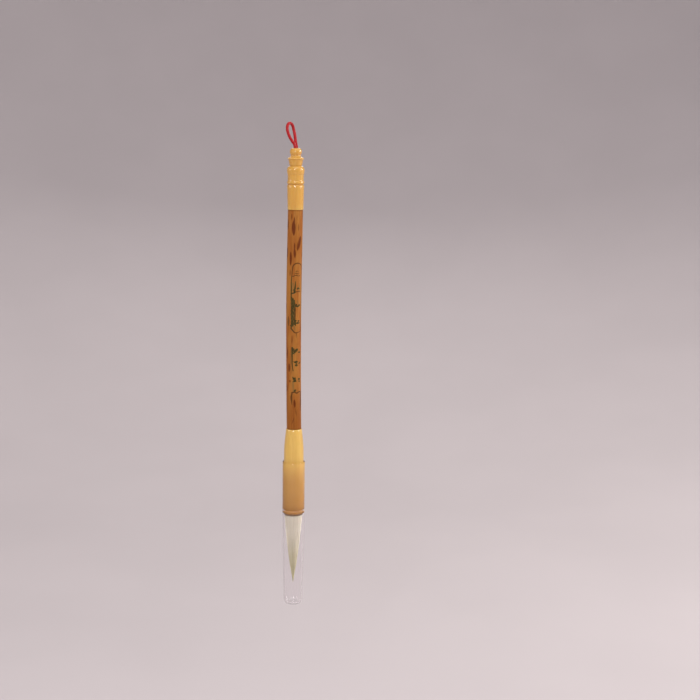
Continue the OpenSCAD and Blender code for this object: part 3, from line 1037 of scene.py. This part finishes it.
class BRUSH_OT_camera(bpy.types.Operator):
    """Set up the camera, a little right of the brush and looking slightly down"""

    bl_idname = "brush.camera"
    bl_label = "Camera"

    FOCAL_LENGTH = 66.857
    SENSOR_WIDTH = 36.0
    AIM = Vector((0.03218, 0, -0.11532))
    DISTANCE = 0.754
    PITCH = math.radians(8.96)
    ROLL = math.radians(0.778)

    def execute(self, context):
        data = bpy.data.cameras.new("camera")
        data.lens = self.FOCAL_LENGTH
        data.sensor_width = self.SENSOR_WIDTH
        data.clip_start, data.clip_end = 0.01, 20.0
        camera = bpy.data.objects.new("camera", data)
        turned = Matrix.Rotation(math.pi / 2 - self.PITCH, 4, "X") @ Matrix.Rotation(self.ROLL, 4, "Z")
        back = Matrix.Translation((0, 0, self.DISTANCE))
        camera.matrix_world = Matrix.Translation(self.AIM) @ turned @ back
        context.scene.collection.objects.link(camera)
        context.scene.camera = camera
        return {"FINISHED"}


class BRUSH_OT_cord(bpy.types.Operator):
    """Braid the hanging cord: its two strands in the finial, the loop, and the knot below"""

    bl_idname = "brush.cord"
    bl_label = "Hanging cord"

    SIDES = 48
    KNOT_SIDES = 24
    KNOT_TAIL = 1.8 * MM

    def execute(self, context):
        settings = context.scene.brush_cord
        dyed = waxed_cord(settings.dye)
        turn = np.array(Matrix.Rotation(LOOP_TURN, 3, "Z"))
        loop, line = self.loop(settings, dyed, turn)
        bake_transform(loop)
        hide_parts("hanging_loop", "cord_strands")
        knot = self.knot(settings, dyed, turn)
        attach(knot, "cord_end")
        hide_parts("cord_knot")
        float(run_along(line)[-1])
        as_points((line @ turn.T)[::8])
        return {"FINISHED"}

    def loop(self, settings, dyed, turn):
        """The loop and its two strands in the finial, as one piece, and its line before it is turned."""
        half = [(STRAND_OFF, 0, z) for z in STRAND_LEVELS] + HALF_ROUTE
        route = half + [LOOP_CROWN] + [(-x, y, z) for x, y, z in reversed(half)]
        line = smooth_line(route, 0.12 * MM)

        def weave(run, angle):
            return np.cos(settings.carriers * angle) * np.cos(2 * math.pi / settings.stitch * run)

        def braid(run, angle):
            return settings.diameter / 2 + settings.relief * weave(run, angle)

        points, faces = tube(line, self.SIDES, braid)
        loop = make_piece("cord_loop", points @ turn.T, faces, dyed, sharp_angle=60)
        angle = np.linspace(0, 2 * math.pi, self.SIDES, endpoint=False)
        store(loop.data, "relief", weave(run_along(line)[:, None], angle[None, :]).ravel())
        return loop, line

    def knot(self, settings, dyed, turn):
        """The stopper knot under the finial: a trefoil knot, with its two cut tails."""
        low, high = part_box("cord_knot")
        radius = settings.diameter / 2 * 0.9
        waves_per_metre = 5500
        middle = (high.z + low.z + self.KNOT_TAIL) / 2
        bend = np.linspace(0, 2 * math.pi, 160, endpoint=False)
        size = (high.x - radius) / 3.0
        rise = (high.z - low.z - self.KNOT_TAIL) / 2 - radius
        across = size * (np.sin(bend) + 2 * np.sin(2 * bend))
        forward = size * (np.cos(bend) - 2 * np.cos(2 * bend))
        line = np.stack([across, forward, middle - rise * np.sin(3 * bend)], axis=1)

        def braid(run, angle):
            weave = settings.relief * np.cos(settings.carriers * angle) * np.cos(run * waves_per_metre)
            return radius + weave

        points, faces = tube(line, self.KNOT_SIDES, braid, closed=True, up=(0, 0, 1))
        points, faces = list(points), list(faces)
        tail_levels = (low.z + self.KNOT_TAIL + 0.3 * MM, low.z + self.KNOT_TAIL / 2, low.z)
        for side in (-1, 1):
            tail = smooth_line([(side * STRAND_OFF, 0, z) for z in tail_levels], 0.15 * MM)
            more, more_faces = tube(tail, self.KNOT_SIDES, braid)
            faces += [tuple(i + len(points) for i in f) for f in more_faces]
            points += list(more)
        knot = make_piece("cord_knot_tied", np.array(points) @ turn.T, faces, dyed, sharp_angle=60)
        store(knot.data, "relief", np.full(len(points), 0.2))
        return knot


class BRUSH_OT_turned(bpy.types.Operator):
    """Turn the finial and both ferrules from the frame's outlines, with softened edges"""

    bl_idname = "brush.turned"
    bl_label = "Finial and ferrules"

    def execute(self, context):
        settings = context.scene.brush_turned
        wood = turned_wood(settings)
        for node in ("finial", "upper_ferrule", "lower_ferrule"):
            outline, closed = section_of(node)
            profile = softened(outline, closed, settings.fillet, TURNED_STEP)
            piece = make_piece(node + "_turned", *spun(profile, closed, SEGMENTS), wood, sharp_angle=50)
            # How deep in a groove each point lies, for the wood's painted shade in its grooves
            store(piece.data, "recess", np.repeat(self.recess(profile, node), SEGMENTS))
            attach(piece, "brush")
            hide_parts(node)
        return {"FINISHED"}

    def recess(self, profile, node):
        """How deep each point of a profile lies in a groove, from 0 on open surfaces to 1."""
        radius, heights = profile[:, 0], profile[:, 1]
        gaps = np.linspace(0.2 * MM, 0.8 * MM, 4)
        above = np.max([outside_at(node, heights + gap) for gap in gaps], axis=0)
        below = np.max([outside_at(node, heights - gap) for gap in gaps], axis=0)
        deep = np.clip((np.minimum(above, below) - radius) / (0.25 * MM), 0, 1)
        outside = outside_at(node, heights) - radius < 0.15 * MM
        return np.where(outside, deep, 0)


class BRUSH_OT_handle(bpy.types.Operator):
    """Make the bamboo handle, with its flecks and its engraved and painted scene"""

    bl_idname = "brush.handle"
    bl_label = "Bamboo handle"

    # What is engraved: degrees round from the front, and depth in millimetres
    SCENE_SPAN = (-30.0, 84.0)
    SCENE_DEPTH = (64.2, 152.0)

    def execute(self, context):
        settings = context.scene.brush_bamboo
        rings = np.array(self.rows())
        angle, radius = np.meshgrid(self.columns(), rings[:, 0])
        height, on_skin = (np.repeat(column[:, None], angle.shape[1], axis=1) for column in rings.T[1:])
        depth = -height / MM
        marks, beside = self.engraved(angle * radius / MM, depth)
        marks = {kind: mask * on_skin for kind, mask in marks.items()}
        cut = np.maximum(marks["paint"], 0.8 * marks["bare cut"])
        flecks = fleck_field(angle, depth, radius / MM) * on_skin
        radius = radius - settings.carving * cut + on_skin * self.unevenness(angle, depth) * MM
        shown = np.clip((HANDLE_TOP - height) / (HANDLE_TOP - HANDLE_FOOT), 0, 1)
        bend = -settings.bow * np.sin(math.pi * shown)
        points = np.stack([radius * np.sin(angle) + bend, -radius * np.cos(angle), height], axis=-1)
        faces = self.quads(*angle.shape)
        piece = make_piece("bamboo_handle_shaft", points.reshape(-1, 3), faces, mottled_bamboo(settings))
        for kind, mask in marks.items():
            store(piece.data, kind, mask.ravel())
        store(piece.data, "lip", np.clip(beside * on_skin - cut * 1.4, 0, 1).ravel())
        store(piece.data, "fleck", flecks.ravel())
        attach(piece, "brush")
        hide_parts("bamboo_handle")
        return {"FINISHED"}

    def engraved(self, around, depth):
        """How much of each kind of mark lies on each point, and how much lies on or just beside a cut."""
        marks = {kind: np.zeros_like(around) for kind in ("paint", "bare cut", "wash")}
        beside = np.zeros_like(around)
        for kind, line, widths in Engraving().strokes:
            soft = 0.30 if kind == "wash" else 0.10
            marks[kind] = np.maximum(marks[kind], stroke_mask(around, depth, line, widths, soft))
            if kind != "wash":
                beside = np.maximum(beside, stroke_mask(around, depth, line, widths + 0.18, 0.2))
            if kind == "paint":
                bled = stroke_mask(around, depth, line, widths + 0.45, 0.6)
                marks["wash"] = np.maximum(marks["wash"], 0.62 * bled)
        return marks, beside

    def unevenness(self, angle, depth):
        """The growth of the bamboo, in millimetres: long waves, a slight belly, and fibres."""
        long_waves = 0.025 * np.sin(depth * 0.11 + 1.3) * np.sin(angle + 0.6)
        lobes = 0.015 * np.sin(3 * angle + depth * 0.07)
        belly = 0.07 * np.sin(np.clip((depth + HANDLE_TOP / MM) / 90, 0, 1) * math.pi)
        fibres = 0.006 * np.sin(angle * 46 + 0.8 * np.sin(depth * 0.21)) * np.sin(angle * 17 + 2)
        return long_waves + lobes + belly + fibres - 0.02

    def rows(self):
        """Rings along the outline as (radius, height, 1 on the visible skin), close where it is engraved."""
        outline, _ = section_of("bamboo_handle")
        narrowest, top = outline[:, 0].min(), outline[:, 1].max()
        start = int(np.argmin(np.hypot(outline[:, 0] - narrowest, outline[:, 1] - top)))
        loop = np.roll(outline, -start, axis=0)
        if loop[1][0] < loop[-1][0]:
            loop = np.roll(loop[::-1], 1, axis=0)
        skin_radius = outline[:, 0].max() - 0.3 * MM
        high, low = (-depth * MM for depth in self.SCENE_DEPTH)
        coarse, fine, inside = 0.55 * MM, 0.17 * MM, 4 * MM
        made = []
        for p, q in zip(loop, np.roll(loop, -1, axis=0)):
            if min(p[0], q[0]) > skin_radius and abs(p[1] - q[1]) > 50 * MM:
                heights = np.concatenate([
                    np.linspace(a, b, max(2, round(abs(a - b) / gap)), endpoint=False)
                    for a, b, gap in ((p[1], high, coarse), (high, low, fine), (low, q[1], coarse))
                ])
                shares = (heights - p[1]) / (q[1] - p[1])
                made += [(p[0] + (q[0] - p[0]) * t, z, float(0 < t < 1)) for t, z in zip(shares, heights)]
            else:
                count = max(1, math.ceil(np.linalg.norm(q - p) / inside))
                made += [(*(p + (q - p) * t), 0.0) for t in np.linspace(0, 1, count, endpoint=False)]
        return made

    def columns(self):
        """Angles round the handle, from the front to the right, close where it is engraved."""
        low, high = (math.radians(a) for a in self.SCENE_SPAN)
        fine = np.linspace(low, high, 76, endpoint=False)
        rest = np.linspace(high, low + 2 * math.pi, 50, endpoint=False)
        angles = np.concatenate([fine, rest])
        return np.where(angles > math.pi, angles - 2 * math.pi, angles)

    def quads(self, rows, columns):
        """Faces of a grid that closes on itself both ways."""
        faces = []
        for i in range(rows):
            here, after = i * columns, (i + 1) % rows * columns
            for k in range(columns):
                m = (k + 1) % columns
                faces.append((here + k, here + m, after + m, after + k))
        return faces


class BRUSH_OT_inside(bpy.types.Operator):
    """Finish the hidden glue and resin, and wind the thread round the root of the hair"""

    bl_idname = "brush.inside"
    bl_label = "Glue, resin and thread"

    THREAD_TURNS = 5

    def execute(self, context):
        glue = dried_glue("dried_glue", (0.50, 0.27, 0.08), 0.25)
        resin = dried_glue("root_resin", (0.24, 0.09, 0.02), 0.15)
        finishes = {
            "finial_glue": glue,
            "handle_top_glue": glue,
            "handle_foot_glue": glue,
            "tuft_glue": glue,
            "root_resin": resin,
        }
        for node, material in finishes.items():
            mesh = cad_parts[node].data
            mesh.materials.clear()
            mesh.materials.append(material)
        low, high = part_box("binding_thread")
        thread = (high.z - low.z) / (self.THREAD_TURNS + 0.2) / 2
        values = {
            "Turns": float(self.THREAD_TURNS),
            "Winding radius": high.x - thread,
            "Winding height": high.z - low.z - 2 * thread,
            "Thread radius": thread * 0.97,
            "Foot": (0.0, 0.0, low.z + thread),
        }
        wound = grown("root_thread_wound", thread_recipe(wound_thread()), values)
        wound.data.shade_smooth()
        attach(wound, "brush")
        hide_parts("binding_thread")
        return {"FINISHED"}


class BRUSH_OT_tuft(bpy.types.Operator):
    """Lay the core hair and the outer hair of the tuft, hair by hair"""

    bl_idname = "brush.tuft"
    bl_label = "Hair tuft"

    # Points along one hair, and points round the mass of hair under the drawn hairs
    STEPS = 14
    BODY_SEGMENTS = 72

    def execute(self, context):
        settings = context.scene.brush_tuft
        tuft = self.radii("mantle_hair", "core_hair")
        core = self.radii("core_hair")
        # Each hair colour is followed by the colour of its tip and that of its darkest hairs
        white = brush_hair("white_hair", settings.white, (0.57, 0.50, 0.25), (0.60, 0.51, 0.34))
        yellow = brush_hair("core_hair", settings.yellow, (0.50, 0.43, 0.19), (0.38, 0.30, 0.10))
        common = {"Root height": HAIR_TOP, "Tip height": TIP, "Hair width": settings.hair_width}
        mantle_reach = (HAIR_TOP - MANTLE_END) / (HAIR_TOP - TIP)
        bundles = [
            ("outer_hair_bundle", "mantle_hair", "white_hair", white, tuft, 0.93, mantle_reach * 0.66, {
                "Hairs": settings.mantle_count, "Inner share": 0.80, "Outer share": 0.985, "Shortest": 0.55,
                "Longest": 0.95, "Locks": 17.0, "Locking": 0.62, "Waviness": 0.030, "Seed": 11}),
            ("core_hair_bundle", "core_hair", "core_hair", yellow, core, 0.86, 0.97, {
                "Hairs": settings.core_count, "Inner share": 0.30, "Outer share": 0.99, "Shortest": 0.86,
                "Longest": 0.995, "Locks": 5.0, "Locking": 0.35, "Waviness": 0.020, "Seed": 12}),
        ]
        for name, node, slot, material, radii, fill, reach, values in bundles:
            body = self.body(name, radii, fill, reach)
            tree = hair_recipe(list(radii), self.STEPS, material)
            piece = grown(name, tree, {**common, **values}, base=body)
            piece.data.shade_smooth()
            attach(piece, "brush")
            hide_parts(node)
        return {"FINISHED"}

    def radii(self, *nodes, count=25):
        """The tuft's radius at even steps from root to tip, from the outlines of these nodes."""
        heights = np.linspace(HAIR_TOP, TIP, count)
        return np.max([outside_at(node, heights) for node in nodes], axis=0)

    def body(self, name, radii, fill, reach):
        """The mass of hair under the drawn hairs, as a closed mesh with the same stored numbers."""
        shares = np.linspace(0, reach, 40)
        closing = 1 - 8.1 * np.maximum(0, shares / reach - 0.9)
        widths = np.interp(shares, np.linspace(0, 1, len(radii)), radii) * fill * closing
        levels = HAIR_TOP + (TIP - HAIR_TOP) * np.append(shares, reach + 0.004)
        outline = [(0.0, HAIR_TOP), *zip([*widths, 0.0], levels)]
        points, faces = spun(np.array(outline), False, self.BODY_SEGMENTS)
        mesh = bpy.data.meshes.new(name + "_body")
        mesh.from_pydata(points, [], faces)
        if signed_volume(mesh) < 0:
            mesh.flip_normals()
        heights = np.array([p[2] for p in points])
        shades = np.random.default_rng(5).uniform(0, 1, self.BODY_SEGMENTS)
        around = np.arctan2([p[1] for p in points], [p[0] for p in points]) % (2 * math.pi)
        strip = (around / (2 * math.pi) * self.BODY_SEGMENTS).astype(int) % self.BODY_SEGMENTS
        store(mesh, "along", (HAIR_TOP - heights) / (HAIR_TOP - TIP))
        store(mesh, "shade", shades[strip])
        return mesh


class BRUSH_OT_cap(bpy.types.Operator):
    """Mould the clear cap from the frame's outline"""

    bl_idname = "brush.cap"
    bl_label = "Clear cap"

    FILLET = 0.12 * MM
    STEP = 0.15 * MM
    BORE_GAP = 0.08 * MM
    GRIP = 0.01 * MM

    def execute(self, context):
        outline, closed = section_of("clear_cap")
        profile = divided(softened(outline, closed, self.FILLET, self.STEP), closed, 1.0 * MM)
        # The cap jams on the ferrule, so its bore touches the wood all round, without a film of air.
        near = (-0.8 * MM, 0.0, 0.8 * MM)
        wood = np.max([outside_at("lower_ferrule", profile[:, 1] + gap) for gap in near], axis=0)
        gripping = (profile[:, 1] > MOUTH) & (profile[:, 0] < wood.max() + self.BORE_GAP)
        profile[gripping, 0] = wood[gripping] - self.GRIP
        material = clear_plastic(context.scene.brush_cap)
        cap = make_piece("clear_cap_moulded", *spun(profile, closed, SEGMENTS), material, sharp_angle=60)
        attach(cap, "cap")
        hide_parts("clear_cap")
        return {"FINISHED"}


class BRUSH_OT_stage(bpy.types.Operator):
    """Set the brush in a plain round studio with soft lamps"""

    bl_idname = "brush.stage"
    bl_label = "Stage"

    # The studio is a bowl: a flat floor, then a wall that curves up from it
    FLAT = 0.5
    WALL_REACH = 1.5
    WALL_HEIGHT = 1.7

    # Lamps: name, azimuth from the camera's side, distance, height, size across and up, watts, colour
    LAMPS = [
        ("right", 100, 0.95, 0.42, 0.25, 0.34, 5.0, (1.0, 0.98, 0.95)),
        ("front", -8, 1.00, 0.42, 0.22, 0.34, 4.2, (0.98, 0.98, 1.0)),
        ("overhead", 10, 0.60, 1.20, 1.20, 1.20, 8.0, (1.0, 0.98, 0.97)),
        ("low_right", 80, 1.10, 0.28, 0.60, 0.24, 2.4, (1.0, 0.98, 0.96)),
        ("low_left", -75, 1.10, 0.28, 0.60, 0.24, 1.7, (1.0, 0.98, 0.98)),
        ("back", 180, 0.95, 0.60, 0.70, 0.50, 2.5, (1.0, 0.98, 0.96)),
    ]

    def execute(self, context):
        settings = context.scene.brush_stage
        floor = CAP_END - settings.drop
        outline = [(0.0, floor)]
        for bend in np.linspace(0, math.pi / 2, 40):
            rise = self.WALL_HEIGHT * (1 - math.cos(bend))
            outline.append((self.FLAT + self.WALL_REACH * math.sin(bend), floor + rise))
        points, faces = spun(np.array(outline), False, 96)
        studio = make_piece("studio_floor", points, faces, plain_paper(settings.paper), sharp_angle=80)
        world = bpy.data.worlds.new("studio")
        world.use_nodes = True
        sky = world.node_tree.nodes["Background"]
        sky.inputs["Color"].default_value = (0.95, 0.96, 1.0, 1)
        sky.inputs["Strength"].default_value = 0.40
        context.scene.world = world
        context.scene.view_settings.view_transform = "Standard"
        for lamp in self.LAMPS:
            self.lamp(context, *lamp)
        return {"FINISHED"}

    def lamp(self, context, name, azimuth, distance, height, wide, tall, watts, tint):
        """A soft lamp aimed at the brush's middle."""
        data = bpy.data.lights.new(name, "AREA")
        data.shape, data.size, data.size_y = "RECTANGLE", wide, tall
        data.energy, data.color = watts, tint
        lamp = bpy.data.objects.new(name, data)
        middle = Vector((0, 0, (HANDLE_TOP + MOUTH) / 2))
        turn = math.radians(azimuth)
        lamp.location = middle + Vector((distance * math.sin(turn), -distance * math.cos(turn), height))
        lamp.rotation_euler = (middle - lamp.location).to_track_quat("-Z", "Y").to_euler()
        lamp.visible_camera = False
        context.scene.collection.objects.link(lamp)


# ---------------------------------------------------------------- panel and registration


class BRUSH_PT_panel(bpy.types.Panel):
    """Settings and steps of the calligraphy brush"""

    bl_label = "Calligraphy brush"
    bl_idname = "BRUSH_PT_panel"
    bl_space_type = "VIEW_3D"
    bl_region_type = "UI"
    bl_category = "Brush"

    def draw(self, context):
        for name, group in SETTINGS.items():
            box = self.layout.box()
            for prop in group.__annotations__:
                box.prop(getattr(context.scene, name), prop)
        for step in STEPS:
            self.layout.operator(step.bl_idname)


SETTINGS = {
    "brush_cord": BrushCordSettings,
    "brush_turned": BrushTurnedSettings,
    "brush_bamboo": BrushBambooSettings,
    "brush_tuft": BrushTuftSettings,
    "brush_cap": BrushCapSettings,
    "brush_stage": BrushStageSettings,
}
STEPS = [
    BRUSH_OT_camera,
    BRUSH_OT_cord,
    BRUSH_OT_turned,
    BRUSH_OT_handle,
    BRUSH_OT_inside,
    BRUSH_OT_tuft,
    BRUSH_OT_cap,
    BRUSH_OT_stage,
]


def register():
    for cls in (*SETTINGS.values(), *STEPS, BRUSH_PT_panel):
        bpy.utils.register_class(cls)
    for name, group in SETTINGS.items():
        setattr(bpy.types.Scene, name, PointerProperty(type=group))


def unregister():
    for name in SETTINGS:
        delattr(bpy.types.Scene, name)
    for cls in reversed((*SETTINGS.values(), *STEPS, BRUSH_PT_panel)):
        bpy.utils.unregister_class(cls)


def main():
    """Builds the whole brush."""
    register()
    for step in STEPS:
        group, name = step.bl_idname.split(".")
        getattr(getattr(bpy.ops, group), name)()


if __name__ == "__main__":
    main()
